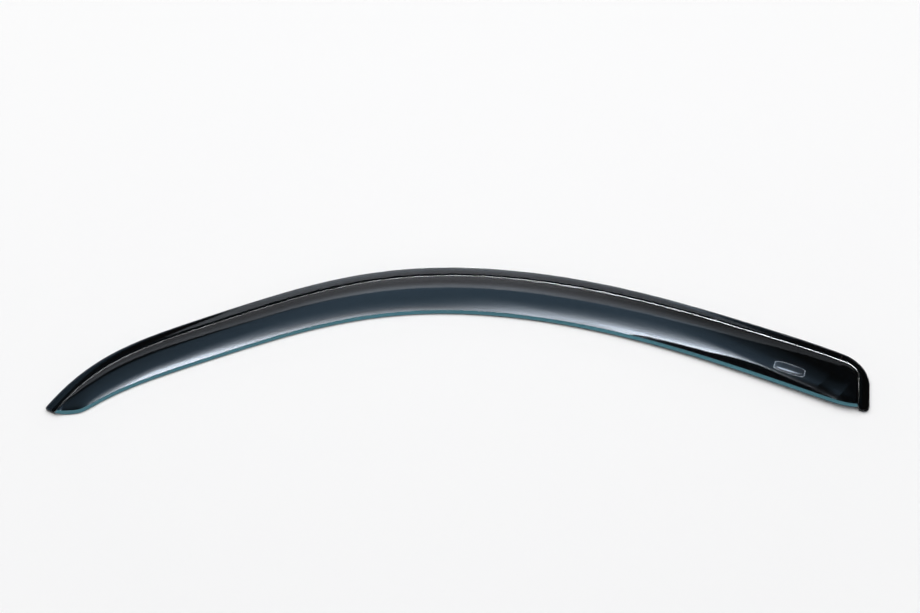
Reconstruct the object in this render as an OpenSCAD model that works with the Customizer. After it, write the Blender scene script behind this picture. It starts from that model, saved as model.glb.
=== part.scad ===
// Window rain deflector for a front side door, handed for one side of the car.
// One thermoformed acrylic shell: a flat bonding flange, a small step and a cambered blade,
// closed at the rear by the same flange and step. Foam tape with its release liner lies
// behind the flange, and a small badge plate sits on the blade.
// X runs along the deflector from its front tip to its rear end, Y towards the roof,
// Z away from the door. Z = 0 is the plane that the liner lies on.

/* [Overall] */
// Length from the front tip to the rear end
length = 938; // [700:5:1200]
// Height of the arched top edge above the front tip
crown_rise = 204; // [120:2:260]
// Width across flange and blade at the crown
total_w = 72.2; // [62:0.2:110]

/* [Shell] */
// Thickness of the acrylic sheet
wall = 3; // [2:0.1:5]
// Width of the flat flange at both ends
flange_w = 10.5; // [9.5:0.5:16]
// How much wider the flange is at the crown
flange_gain = 3.5; // [0:0.5:8]
// Width of the step between flange and blade
step_run = 3.5; // [2.5:0.1:6]
// Height of the step at the crown
step_h = 4; // [2:0.5:7]
// How far the blade's lower edge stands above the flange at the rear
rear_lift = 6; // [3:0.5:10]
// Width of the bevel along the blade's lower edge
bevel_run = 2.4; // [1:0.1:4]
// Rounding of the flange's upper outer edge
edge_ease = 0.8; // [0.3:0.1:1.2]

/* [Rear end] */
// Outer radius of the rear corner
corner_r = 42; // [36:1:60]
// Radius of the step around the rear corner
step_corner_r = 20; // [12:1:30]
// Angle at which the rear end leans in, in degrees
end_rake = 13; // [0:1:20]
// How far the rear flange reaches below the blade
tab_drop = 4.5; // [3:0.5:14]
// Rounding of the rear flange's lower outer corner
tab_r = 6; // [3:0.5:9]
// Rounding of the front tip's outer corner
tip_r = 3; // [1.5:0.5:6]

/* [Tape] */
// Thickness of the foam tape
tape_t = 1.1; // [0.8:0.1:2]
// Width of the foam tape
tape_w = 8; // [5:0.5:8]
// Distance of the tape from the flange's outer edge
tape_inset = 1; // [0.8:0.1:2]
// Thickness of the release liner
liner_t = 0.15; // [0.1:0.05:0.3]
// How far the liner reaches past the tape on each side
liner_over = 0.5; // [0.2:0.1:0.8]
// Gap between the two liners where the rear corner starts
liner_joint = 0.3; // [0.2:0.1:3]

/* [Badge] */
// Length of the badge plate
badge_l = 37; // [20:1:50]
// Width of the badge plate
badge_w = 13; // [8:0.5:18]
// Thickness of the badge plate
badge_t = 0.5; // [0.3:0.1:1]
// Glue line between the blade and the badge plate
badge_glue = 0.06; // [0.04:0.01:0.1]

/* [Hidden] */

// Top edge: Bezier heights over the length, as shares of crown_rise
top_shares = [0.005, 1.095, -0.165, 2.33, 0.16, 1.61, 0.55, 0.605, 0.228];
// Width across flange and blade from tip to rear, as shares of total_w
width_shares = [0.903, 0.978, 1, 1.227];
// Extra flange width from tip to rear, as shares of flange_gain
gain_shares = [0.3, 1.2, 1.2, 0];
// Step height from tip to rear, as shares of step_h
step_shares = [0.5, 1, 1.1, 1.25];
// Height of the lower edge from tip to rear, as shares of rear_lift
lift_shares = [0, 0, 0, 1];
// Camber of the blade from tip to rear, as shares of its local width
camber_shares = [0.075, 0.085, 0.08, 0.04];
// Where the badge stands: share of the length, and share of the blade from step to lower edge
badge_place_shares = [0.903, 0.66];
// Half width of the badge plate at its ends, as a share of its full half width
badge_end_share = 0.45;
// Where the lower edge is reached by the last station of the top edge and of the corner
edge_station_shares = [0.945, 0.972];
// How closely the stations are set at the tip, as a share of even spacing
tip_spacing_share = 0.45;
// How the stations of a rounded end are set, as shares of its radius
round_shares = [0, 0.12, 0.45];
// Inner face of the step: its set-back as a share of the wall
set_back_share = 0.55;
// How far the tape stays from a rounded end, as a share of the rounding's radius
tape_end_share = 0.75;
// Softness of the bend between the tip's straight bottom and the blade's lower edge
tip_bend = 2.5 * wall;
// Fall of the tip's bottom edge per length
tip_fall = 0.015;

// Number of stations along the top edge, round the corner and down the rear end
top_stations = 62;
corner_stations = 9;
end_stations = 6;
// Rows over the step, and rows over the blade
step_rows = 5;
blade_rows = 7;
// How many times each search for a tangent point is repeated
search_count = 8;

base_z = liner_t + tape_t;
face_z = base_z + wall;
band_end = flange_w + step_run;
end_heading = -90 - end_rake;

function mix(a, b, t) = a + (b - a) * t;
function limit(v, low, high) = min(max(v, low), high);
// Rises from 0 to 1 with no kink in its slope at either end
function ease(t) = let (c = limit(t, 0, 1)) c * c * c * (c * (6 * c - 15) + 10);
// Value of a Bezier with the control values c at t
function bez(c, t) =
    len(c) == 1 ? c[0] : bez([for (i = [0 : len(c) - 2]) mix(c[i], c[i + 1], t)], t);
// Differences of neighbouring control values, for the slope
function steps_of(c) = [for (i = [0 : len(c) - 2]) c[i + 1] - c[i]];
function ahead(h) = [cos(h), sin(h)];
// Direction to the right of heading h: from the outer edge towards the blade
function inward(h) = [sin(h), -cos(h)];

// The top edge, carried on over the rear corner, and its heading
function top_y(x) = crown_rise * bez(top_shares, x / length);
function top_heading(x) =
    atan(crown_rise / length * (len(top_shares) - 1) * bez(steps_of(top_shares), x / length));
function top_point(x) = [x, top_y(x)];
// Width of flange and step together along the top edge
function band(x) = band_end + flange_gain * bez(gain_shares, x / length);
function width(x) = total_w * bez(width_shares, x / length);

// The outer corner: a tangent arc that ends the length at its widest point
function corner_x(x, n) =
    n < 1 ? x : corner_x(length - corner_r * (1 + sin(top_heading(x))), n - 1);
outer_x = corner_x(length - corner_r, search_count);
outer_centre = top_point(outer_x) + corner_r * inward(top_heading(outer_x));
end_start = outer_centre - corner_r * inward(end_heading);

// The step follows the top edge, and turns its own tighter corner
function step_point(x) = top_point(x) + band(x) * inward(top_heading(x));
function step_centre(x) = step_point(x) + step_corner_r * inward(top_heading(x));
function step_x(x, n) =
    n < 1 ? x
    : step_x(x + (step_centre(x) - end_start) * inward(end_heading) - band_end - step_corner_r, n - 1);
inner_x = step_x(outer_x, search_count);
inner_centre = step_centre(inner_x);
inner_end_start = inner_centre - step_corner_r * inward(end_heading);

// Lower edge of the blade: the top edge set down by the width, cut off flat at the tip
tip_foot = step_point(0);
function edge_y(x) =
    let (main = top_y(x) - width(x), foot = tip_foot[1] - tip_fall * (x - tip_foot[0]))
    (main + foot + sqrt(pow(main - foot, 2) + pow(tip_bend, 2))) / 2;
// The blade's rear lower corner, where the rear step meets the lower edge
function rear_foot(p, n) =
    n < 1 ? p : rear_foot(p + (p[1] - edge_y(p[0])) / cos(end_rake) * ahead(end_heading), n - 1);
blade_foot = rear_foot(inner_end_start, search_count);
end_run = (end_start[1] - blade_foot[1] + tab_drop) / cos(end_rake);
inner_run = norm(blade_foot - inner_end_start);

// Height of the blade's outer face above the flange's, anywhere in plan
function step_line_y(x) = top_y(x) - band(x) / cos(top_heading(x));
function sheet_h(p) =
    let (
        u = limit(p[0] / length, 0, 1),
        w = max(step_line_y(p[0]) - edge_y(p[0]), band_end),
        c = min((step_line_y(p[0]) - p[1]) / w, 1)
    )
    mix(step_h * bez(step_shares, u), rear_lift * bez(lift_shares, u), c)
    + w * bez(camber_shares, u) * 4 * c * (1 - c);

// Stations along the outer edge, each [outer point, step point, lower edge point]
top_xs = [
    for (s = round_shares) s * tip_r,
    for (i = [0 : top_stations])
        let (t = i / top_stations)
        mix(tip_r, outer_x, tip_spacing_share * t + (1 - tip_spacing_share) * t * t)
];
// How far a rounded corner of radius r pulls the outline in, at distance s from its end
function pull_in(s, r) = s >= r ? 0 : r - sqrt(r * r - pow(r - s, 2));
function edge_point(share) =
    let (x = mix(tip_foot[0], blade_foot[0], share)) [x, edge_y(x)];

top_line = [
    for (x = top_xs)
        let (t = x / outer_x, h = top_heading(x), start = norm(top_point(x) - top_point(0)))
        [
            top_point(x) + pull_in(start, tip_r) * inward(h),
            step_point(t * inner_x),
            edge_point(edge_station_shares[0] * t)
        ]
];
corner_line = [
    for (i = [1 : corner_stations])
        let (
            t = i / corner_stations,
            outer_h = mix(top_heading(outer_x), end_heading, t),
            inner_h = mix(top_heading(inner_x), end_heading, t)
        )
        [
            outer_centre - corner_r * inward(outer_h),
            inner_centre - step_corner_r * inward(inner_h),
            edge_point(mix(edge_station_shares[0], edge_station_shares[1], t))
        ]
];
end_runs = [
    for (i = [1 : end_stations]) i / end_stations * (end_run - tab_r),
    for (i = [len(round_shares) - 1 : -1 : 0]) end_run - round_shares[i] * tab_r
];
end_line = [
    for (s = end_runs)
        let (t = s / end_run)
        [
            end_start + s * ahead(end_heading) + pull_in(end_run - s, tab_r) * inward(end_heading),
            inner_end_start + t * inner_run * ahead(end_heading),
            edge_point(mix(edge_station_shares[1], 1, t))
        ]
];
stations = concat(top_line, corner_line, end_line);
last = len(stations) - 1;

// Rows across one station: from the outer edge over the flange, up the step, over the blade.
// inside is false for the outer face and true for the inner face.
function row_set(s, inside) =
    let (
        p = s[0], q = s[1], e = s[2],
        reach = norm(q - p),
        across = (q - p) / reach,
        blade = norm(e - q),
        flat = reach - step_run,
        back = inside ? min(set_back_share * wall, blade / 2) : 0,
        foot = inside ? 1 : max(1 - bevel_run / max(blade, bevel_run), 0.5),
        start = q + back * across
    )
    [
        inside ? concat(p, base_z) : concat(p, face_z - edge_ease),
        concat(p + edge_ease * across, inside ? base_z : face_z),
        for (i = [0 : step_rows])
            let (r = i / step_rows, at = p + (flat + back + r * step_run) * across)
            concat(at, (inside ? base_z : face_z) + sheet_h(at) * ease(r)),
        for (i = [1 : blade_rows])
            let (at = mix(start, e, foot * i / blade_rows))
            concat(at, (inside ? base_z : face_z) + sheet_h(at))
    ];
row_count = step_rows + blade_rows + 3;
step_row = step_rows + 2;
outer_rows = [for (s = stations) each row_set(s, false)];
inner_rows = [for (s = stations) each row_set(s, true)];
shell_points = concat(outer_rows, inner_rows);

// Number of a point: the blade's rows meet in one point at the tip and at the rear foot
function point_no(i, k, inside) =
    (inside ? len(outer_rows) : 0) + i * row_count + (i == 0 || i == last ? min(k, step_row) : k);
// A four-cornered patch as two triangles, less those that have shrunk to a line
function patch(a, b, c, d) =
    [for (f = [[a, b, c], [a, c, d]]) if (f[0] != f[1] && f[1] != f[2] && f[0] != f[2]) f];
shell_faces = [
    for (i = [0 : last - 1], k = [0 : row_count - 2]) each concat(
        patch(
            point_no(i, k, false), point_no(i + 1, k, false),
            point_no(i + 1, k + 1, false), point_no(i, k + 1, false)
        ),
        patch(
            point_no(i, k, true), point_no(i, k + 1, true),
            point_no(i + 1, k + 1, true), point_no(i + 1, k, true)
        )
    ),
    for (i = [0 : last - 1]) each concat(
        patch(
            point_no(i, 0, true), point_no(i + 1, 0, true),
            point_no(i + 1, 0, false), point_no(i, 0, false)
        ),
        patch(
            point_no(i, row_count - 1, false), point_no(i + 1, row_count - 1, false),
            point_no(i + 1, row_count - 1, true), point_no(i, row_count - 1, true)
        )
    ),
    for (k = [0 : step_row - 1]) each concat(
        patch(
            point_no(0, k, true), point_no(0, k, false),
            point_no(0, k + 1, false), point_no(0, k + 1, true)
        ),
        patch(
            point_no(last, k, false), point_no(last, k, true),
            point_no(last, k + 1, true), point_no(last, k + 1, false)
        )
    )
];

// The part stands with the middle of its outline at the origin
all_x = [for (p = shell_points) p[0]];
all_y = [for (p = shell_points) p[1]];
middle = [(min(all_x) + max(all_x)) / 2, (min(all_y) + max(all_y)) / 2];

module placed() {
    translate([-middle[0], -middle[1], 0]) children();
}

module visor() {
    color([0.07, 0.09, 0.11])
        placed() polyhedron(points = shell_points, faces = shell_faces);
}

// Closes an outline between a strip's outer line and its inner line
function strip_outline(far_line, near_line) =
    concat(far_line, [for (i = [len(near_line) - 1 : -1 : 0]) near_line[i]]);

// A strip behind the flange's top part, widened by over on both sides
module top_strip(thick, over) {
    start = tape_end_share * tip_r - over;
    end = outer_x - liner_joint - 2 * liner_over + over;
    xs = [for (i = [0 : top_stations]) mix(start, end, i / top_stations)];
    function line(inset) = [for (x = xs) top_point(x) + inset * inward(top_heading(x))];
    linear_extrude(thick)
        polygon(strip_outline(line(tape_inset - over), line(tape_inset + tape_w + over)));
}

// A strip behind the rear flange: round the corner and down to the rounded tab
module rear_strip(thick, over) {
    first = top_heading(outer_x);
    headings = [for (i = [0 : corner_stations]) mix(first, end_heading, i / corner_stations)];
    run = end_run - tape_end_share * tab_r + over;
    function line(inset) = [
        outer_centre - (corner_r - inset) * inward(first) - over * ahead(first),
        for (h = headings) outer_centre - (corner_r - inset) * inward(h),
        end_start + inset * inward(end_heading) + run * ahead(end_heading)
    ];
    linear_extrude(thick)
        polygon(strip_outline(line(tape_inset - over), line(tape_inset + tape_w + over)));
}

module tape_top() {
    color([0.2, 0.2, 0.21]) placed() translate([0, 0, liner_t]) top_strip(tape_t, 0);
}

module tape_rear() {
    color([0.2, 0.2, 0.21]) placed() translate([0, 0, liner_t]) rear_strip(tape_t, 0);
}

module liner_top() {
    color([0.75, 0.1, 0.08]) placed() top_strip(liner_t, liner_over);
}

module liner_rear() {
    color([0.75, 0.1, 0.08]) placed() rear_strip(liner_t, liner_over);
}

// Badge plate: follows the blade, narrower towards both rounded ends
badge_x = badge_place_shares[0] * length;
badge_centre = [badge_x, mix(step_line_y(badge_x), edge_y(badge_x), badge_place_shares[1])];
badge_heading = top_heading(badge_x);
badge_columns = 10;
badge_rows = 4;
function badge_half_w(a) =
    badge_w / 2 * mix(badge_end_share, 1, sqrt(max(1 - pow(a, 4), 0)));
function badge_point(i, j, z) =
    let (
        a = 2 * i / badge_columns - 1,
        b = 2 * j / badge_rows - 1,
        at = badge_centre + a * badge_l / 2 * ahead(badge_heading)
            - b * badge_half_w(a) * inward(badge_heading)
    )
    concat(at, face_z + sheet_h(at) + z);
function badge_no(i, j, upper) = (upper ? (badge_columns + 1) * (badge_rows + 1) : 0) + i * (badge_rows + 1) + j;

module badge() {
    points = [
        for (z = [badge_glue, badge_glue + badge_t], i = [0 : badge_columns], j = [0 : badge_rows])
            badge_point(i, j, z)
    ];
    faces = [
        for (i = [0 : badge_columns - 1], j = [0 : badge_rows - 1]) each concat(
            patch(
                badge_no(i, j, true), badge_no(i, j + 1, true),
                badge_no(i + 1, j + 1, true), badge_no(i + 1, j, true)
            ),
            patch(
                badge_no(i, j, false), badge_no(i + 1, j, false),
                badge_no(i + 1, j + 1, false), badge_no(i, j + 1, false)
            )
        ),
        for (i = [0 : badge_columns - 1]) each concat(
            patch(
                badge_no(i, 0, true), badge_no(i + 1, 0, true),
                badge_no(i + 1, 0, false), badge_no(i, 0, false)
            ),
            patch(
                badge_no(i, badge_rows, false), badge_no(i + 1, badge_rows, false),
                badge_no(i + 1, badge_rows, true), badge_no(i, badge_rows, true)
            )
        ),
        for (j = [0 : badge_rows - 1]) each concat(
            patch(
                badge_no(0, j, false), badge_no(0, j + 1, false),
                badge_no(0, j + 1, true), badge_no(0, j, true)
            ),
            patch(
                badge_no(badge_columns, j, true), badge_no(badge_columns, j + 1, true),
                badge_no(badge_columns, j + 1, false), badge_no(badge_columns, j, false)
            )
        )
    ];
    color([0.7, 0.71, 0.73]) placed() polyhedron(points = points, faces = faces);
}

visor();
tape_top();
tape_rear();
liner_top();
liner_rear();
badge();
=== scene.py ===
"""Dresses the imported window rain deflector: smoke acrylic shell, foam tape, liner and badge."""

import math

import bmesh
import bpy
import numpy as np
from mathutils import Euler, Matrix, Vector


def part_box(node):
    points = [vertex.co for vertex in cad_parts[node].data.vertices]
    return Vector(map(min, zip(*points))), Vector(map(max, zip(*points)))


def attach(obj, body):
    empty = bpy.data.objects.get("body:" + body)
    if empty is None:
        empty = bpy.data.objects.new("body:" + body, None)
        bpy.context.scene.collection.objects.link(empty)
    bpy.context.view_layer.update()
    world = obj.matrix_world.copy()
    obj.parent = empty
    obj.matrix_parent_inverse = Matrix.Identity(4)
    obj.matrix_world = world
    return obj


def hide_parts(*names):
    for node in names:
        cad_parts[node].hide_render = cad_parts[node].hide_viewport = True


bl_info = {
    "name": "Window Rain Deflector",
    "version": (1, 0, 0),
    "blender": (4, 5, 0),
    "location": "View3D > Sidebar > Deflector",
    "description": "Builds the shell, tape, liner and badge of a window rain deflector on its frame",
    "category": "Add Mesh",
}

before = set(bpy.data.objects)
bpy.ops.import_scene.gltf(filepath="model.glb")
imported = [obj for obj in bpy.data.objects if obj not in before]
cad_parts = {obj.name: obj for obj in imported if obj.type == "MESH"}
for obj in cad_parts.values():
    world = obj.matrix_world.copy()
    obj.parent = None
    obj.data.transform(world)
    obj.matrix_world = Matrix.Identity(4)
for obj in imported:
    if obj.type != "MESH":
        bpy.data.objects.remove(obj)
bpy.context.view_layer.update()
VISOR_LOW, VISOR_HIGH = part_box("visor")
MM = 0.001
BODY = "root"


def length_prop(name, description, default):
    return bpy.props.FloatProperty(
        name=name, description=description, default=default, min=0.0,
        unit="LENGTH", subtype="DISTANCE", precision=5,
    )


def color_prop(name, description, default):
    return bpy.props.FloatVectorProperty(
        name=name, description=description, default=default, size=3,
        min=0.0, max=1.0, subtype="COLOR",
    )


class DeflectorSizes(bpy.types.PropertyGroup):
    """Sizes of the shell and of what is stuck to it."""

    length: length_prop("Length", "From the front tip to the rear end", 938 * MM)
    crown_rise: length_prop("Crown rise", "Height of the arched top edge above the tip", 204 * MM)
    total_width: length_prop("Width", "Across flange and blade at the crown", 72.2 * MM)
    wall: length_prop("Wall", "Thickness of the acrylic sheet", 3 * MM)
    flange_width: length_prop("Flange width", "Width of the flange at both ends", 10.5 * MM)
    flange_gain: length_prop("Flange gain", "How much wider the flange is at the crown", 3.5 * MM)
    step_run: length_prop("Step width", "Width of the step between flange and blade", 3.5 * MM)
    step_height: length_prop("Step height", "Height of the step at the crown", 4 * MM)
    rear_lift: length_prop("Rear lift", "Height of the lower edge at the rear", 6 * MM)
    bevel_run: length_prop("Bevel", "Width of the bevel along the lower edge", 2.4 * MM)
    edge_ease: length_prop("Edge ease", "Rounding of the flange's outer edge", 0.8 * MM)
    arris_ease: length_prop("Arris ease", "Rounding of the flange's lower arris", 0.3 * MM)
    corner_radius: length_prop("Corner radius", "Outer radius of the rear corner", 42 * MM)
    step_corner_radius: length_prop(
        "Step corner radius", "Radius of the step round the rear corner", 20 * MM
    )
    end_rake: bpy.props.FloatProperty(
        name="End rake", description="Angle at which the rear end leans in",
        default=math.radians(13), subtype="ANGLE",
    )
    tab_drop: length_prop("Tab drop", "How far the rear flange reaches below the blade", 4.5 * MM)
    tab_radius: length_prop("Tab radius", "Rounding of the rear flange's lower corner", 6 * MM)
    tip_radius: length_prop("Tip radius", "Rounding of the front tip's outer corner", 3 * MM)
    tape_thickness: length_prop("Tape thickness", "Thickness of the foam tape", 1.1 * MM)
    tape_width: length_prop("Tape width", "Width of the foam tape", 8 * MM)
    tape_inset: length_prop("Tape inset", "From the flange's outer edge to the tape", 1 * MM)
    liner_thickness: length_prop("Liner thickness", "Thickness of the release liner", 0.15 * MM)
    liner_over: length_prop("Liner overhang", "How far the liner reaches past the tape", 0.5 * MM)
    liner_joint: length_prop("Liner joint", "Between the two liners, at the corner", 0.3 * MM)
    glue_gap: length_prop("Glue gap", "Glue line over the tape and under the badge", 0.06 * MM)
    badge_length: length_prop("Badge length", "Length of the badge plate", 37 * MM)
    badge_width: length_prop("Badge width", "Width of the badge plate", 13 * MM)
    badge_thickness: length_prop("Badge thickness", "Thickness of the badge plate", 0.5 * MM)
    outline_width: length_prop("Outline width", "Width of the badge's raised outline", 0.4 * MM)


class DeflectorFinish(bpy.types.PropertyGroup):
    """Colours of the finishes."""

    smoke: color_prop("Smoke tint", "What a thin layer of the acrylic lets through", (0.2, 0.27, 0.33))
    shadow: color_prop("Shadow tint", "What the acrylic lets through to its shadow", (0.16, 0.3, 0.33))
    # Painted light: the bevelled edge's teal stands in for light gathered in the sheet
    painted_edge_glow: color_prop("Cut edge", "Colour of the acrylic's bevelled edge", (0.042, 0.155, 0.195))
    foam: color_prop("Foam", "Colour of the foam tape", (0.025, 0.025, 0.028))
    liner: color_prop("Liner", "Colour of the release liner", (0.55, 0.03, 0.02))
    badge: color_prop("Badge", "Colour of the badge plate", (0.006, 0.007, 0.009))
    silver: color_prop("Silver", "Colour of the badge's outline and bar", (0.6, 0.61, 0.63))
    floor: color_prop("Floor", "Colour of the floor", (0.93, 0.93, 0.935))


# Shares that shape the outline and the section, from the tip to the rear
TOP_SHARES = (0.005, 1.095, -0.165, 2.33, 0.16, 1.61, 0.55, 0.605, 0.228)
WIDTH_SHARES = (0.903, 0.978, 1, 1.227)
GAIN_SHARES = (0.3, 1.2, 1.2, 0)
STEP_SHARES = (0.5, 1, 1.1, 1.25)
LIFT_SHARES = (0, 0, 0, 1)
CAMBER_SHARES = (0.075, 0.085, 0.08, 0.04)
# Place of the badge along the length and down the blade, and the width of its ends
BADGE_PLACE_SHARES = (0.903, 0.66)
BADGE_END_SHARE = 0.45
# Where the lower edge's stations stand as the rear corner begins and ends
EDGE_STATION_SHARES = (0.945, 0.972)
TIP_SPACING_SHARE = 0.45
# Set-back of the step on the inner face and softness of the tip's bend, both in walls
SET_BACK_SHARE = 0.55
TIP_BEND_SHARE = 2.5
TIP_FALL = 0.015
# The bevel starts no higher than this on the blade; the tape ends this far into the end's rounding
BEVEL_START_SHARE = 0.5
TAPE_END_SHARE = 0.75
# Point attribute that holds how far the reflecting face is rolled, as a height
ROLL_NAME = "surface_roll"
# How much the flange's face rolls back, as slopes at its outer edge and at the fold
ROLL_SLOPES = (0.03, 0.11)
# Extra slope of the blade's first row, which catches a thin line of light
LINE_SLOPE = 0.2
FIRST_ROW_SHARE = 0.55
# Extra slope of the blade's lower edge at the tip, and the share of the length where it ends
TIP_TURN = 0.17
TIP_TURN_END_SHARE = 0.126
# Limits between the marks 0, 1 and 2 of the shell's finishes and painted shade: acrylic, painted shade in the
# fold, and bevel
MARK_LIMITS = (0.5, 1.5)

# How finely the shell is divided along its length and across
TOP_STATIONS = 330
CORNER_STATIONS = 40
END_STATIONS = 28
ROUND_STATIONS = 8
ARC_ROWS = 5
FLANGE_ROWS = 12
FOLD_ROWS = 3
STEP_ROWS = 14
BLADE_ROWS = 26
STRIP_CORNER_POINTS = 4
SEARCH_COUNT = 10
# Largest angle between faces that still look smooth, in degrees
SHELL_SMOOTH = 32
STRIP_SMOOTH = 40
BADGE_SMOOTH = 30


def mix(a, b, t):
    return a + (b - a) * t


def bezier(shares, t):
    """Value at t of a Bezier with these control values; t may be an array."""
    values = [np.asarray(v, float) for v in shares]
    while len(values) > 1:
        values = [mix(a, b, t) for a, b in zip(values, values[1:])]
    return values[0]


def differences(shares):
    return [b - a for a, b in zip(shares, shares[1:])]


def ahead(heading):
    return np.stack([np.cos(heading), np.sin(heading)], -1)


def inward(heading):
    """Direction to the right of a heading: from the outer edge towards the blade."""
    return np.stack([np.sin(heading), -np.cos(heading)], -1)


def pull_in(distance, radius):
    """How far a rounded corner pulls the outline in, at a distance from its end."""
    inside = np.maximum(radius - distance, 0)
    return radius - np.sqrt(np.maximum(radius**2 - inside**2, 0))


def column(values):
    return np.asarray(values)[..., None]


class Plan:
    """The deflector's lines seen from above, worked out from its sizes."""

    def __init__(self, sizes):
        self.sizes = s = sizes
        self.band_end = s.flange_width + s.step_run
        self.end_heading = -math.pi / 2 - s.end_rake
        self.base = s.liner_thickness + s.tape_thickness
        self.face = self.base + s.wall
        self._find_corners()
        self._find_foot()
        self.middle = self.target = np.zeros(2)
        self.fit = 1.0

    def placed(self, points):
        """Points of the plan as they stand in the frame."""
        return (points - self.middle) * self.fit + self.target

    def top_y(self, x):
        return self.sizes.crown_rise * bezier(TOP_SHARES, x / self.sizes.length)

    def heading(self, x):
        slope = bezier(differences(TOP_SHARES), x / self.sizes.length)
        return np.arctan(self.sizes.crown_rise / self.sizes.length * (len(TOP_SHARES) - 1) * slope)

    def top_point(self, x):
        return np.stack([np.asarray(x, float), self.top_y(x)], -1)

    def band(self, x):
        """Width of flange and step together."""
        return self.band_end + self.sizes.flange_gain * bezier(GAIN_SHARES, x / self.sizes.length)

    def step_point(self, x):
        return self.top_point(x) + column(self.band(x)) * inward(self.heading(x))

    def step_centre(self, x):
        return self.step_point(x) + self.sizes.step_corner_radius * inward(self.heading(x))

    def _find_corners(self):
        s = self.sizes
        x = s.length - s.corner_radius
        for _ in range(SEARCH_COUNT):
            x = s.length - s.corner_radius * (1 + math.sin(self.heading(x)))
        self.outer_x = x
        self.outer_centre = self.top_point(x) + s.corner_radius * inward(self.heading(x))
        self.end_start = self.outer_centre - s.corner_radius * inward(self.end_heading)
        side = inward(self.end_heading)
        for _ in range(SEARCH_COUNT):
            x = x + (self.step_centre(x) - self.end_start) @ side - self.band_end - s.step_corner_radius
        self.inner_x = x
        self.inner_centre = self.step_centre(x)
        self.inner_end_start = self.inner_centre - s.step_corner_radius * side

    def edge_y(self, x):
        """The blade's lower edge: the top edge set down by the width, cut off flat at the tip."""
        s = self.sizes
        foot = self.step_point(0.0)
        main = self.top_y(x) - s.total_width * bezier(WIDTH_SHARES, x / s.length)
        low = foot[1] - TIP_FALL * (x - foot[0])
        return (main + low + np.sqrt((main - low) ** 2 + (TIP_BEND_SHARE * s.wall) ** 2)) / 2

    def _find_foot(self):
        s = self.sizes
        point = self.inner_end_start
        for _ in range(SEARCH_COUNT):
            fall = (point[1] - self.edge_y(point[0])) / math.cos(s.end_rake)
            point = point + fall * ahead(self.end_heading)
        self.tip_foot = self.step_point(0.0)
        self.blade_foot = point
        self.end_run = (self.end_start[1] - point[1] + s.tab_drop) / math.cos(s.end_rake)
        self.inner_run = float(np.linalg.norm(point - self.inner_end_start))

    def edge_point(self, share):
        x = mix(self.tip_foot[0], self.blade_foot[0], share)
        return np.stack([x, self.edge_y(x)], -1)

    def step_line_y(self, x):
        return self.top_y(x) - self.band(x) / np.cos(self.heading(x))

    def place_on_sheet(self, points):
        """Where points lie: share of the length, share of the blade and the blade's width there."""
        x, y = points[..., 0], points[..., 1]
        along = np.clip(x / self.sizes.length, 0, 1)
        width = np.maximum(self.step_line_y(x) - self.edge_y(x), self.band_end)
        drop = np.minimum((self.step_line_y(x) - y) / width, 1)
        return along, drop, width

    def sheet_height(self, points):
        """Height of the blade's outer face above the flange's."""
        s = self.sizes
        along, drop, width = self.place_on_sheet(points)
        step = s.step_height * bezier(STEP_SHARES, along)
        lift = s.rear_lift * bezier(LIFT_SHARES, along)
        return mix(step, lift, drop) + width * bezier(CAMBER_SHARES, along) * 4 * drop * (1 - drop)

    def stations(self):
        """Outer edge, step line and lower edge, one point of each per station."""
        s = self.sizes
        quarter = np.linspace(0, math.pi / 2, ROUND_STATIONS)
        t = np.arange(TOP_STATIONS + 1) / TOP_STATIONS
        spread = TIP_SPACING_SHARE * t + (1 - TIP_SPACING_SHARE) * t * t
        tip = s.tip_radius * (1 - np.cos(quarter[:-1]))
        xs = np.concatenate([tip, mix(s.tip_radius, self.outer_x, spread)])
        start = np.linalg.norm(self.top_point(xs) - self.top_point(0.0), axis=1)
        share = xs / self.outer_x
        outer = [self.top_point(xs) + column(pull_in(start, s.tip_radius)) * inward(self.heading(xs))]
        step = [self.step_point(share * self.inner_x)]
        lower = [self.edge_point(EDGE_STATION_SHARES[0] * share)]

        t = np.arange(1, CORNER_STATIONS + 1) / CORNER_STATIONS
        outer_turn = mix(self.heading(self.outer_x), self.end_heading, t)
        inner_turn = mix(self.heading(self.inner_x), self.end_heading, t)
        outer.append(self.outer_centre - s.corner_radius * inward(outer_turn))
        step.append(self.inner_centre - s.step_corner_radius * inward(inner_turn))
        lower.append(self.edge_point(mix(*EDGE_STATION_SHARES, t)))

        straight = np.arange(1, END_STATIONS + 1) / END_STATIONS * (self.end_run - s.tab_radius)
        rounded = self.end_run - s.tab_radius * (1 - np.cos(quarter[::-1][1:]))
        runs = np.concatenate([straight, rounded])
        pull = pull_in(self.end_run - runs, s.tab_radius)
        down, side = ahead(self.end_heading), inward(self.end_heading)
        outer.append(self.end_start + column(runs) * down + column(pull) * side)
        step.append(self.inner_end_start + column(runs / self.end_run * self.inner_run) * down)
        lower.append(self.edge_point(mix(EDGE_STATION_SHARES[1], 1, runs / self.end_run)))
        return np.concatenate(outer), np.concatenate(step), np.concatenate(lower)


def placed_plan(sizes):
    """The plan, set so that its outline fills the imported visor's."""
    plan = Plan(sizes)
    outer, _, lower = plan.stations()
    points = np.concatenate([outer, lower])
    plan.middle = (points.min(0) + points.max(0)) / 2
    plan.target = np.array(((VISOR_LOW + VISOR_HIGH) / 2).xy)
    plan.fit = np.array((VISOR_HIGH - VISOR_LOW).xy) / np.ptp(points, axis=0)
    return plan


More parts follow.
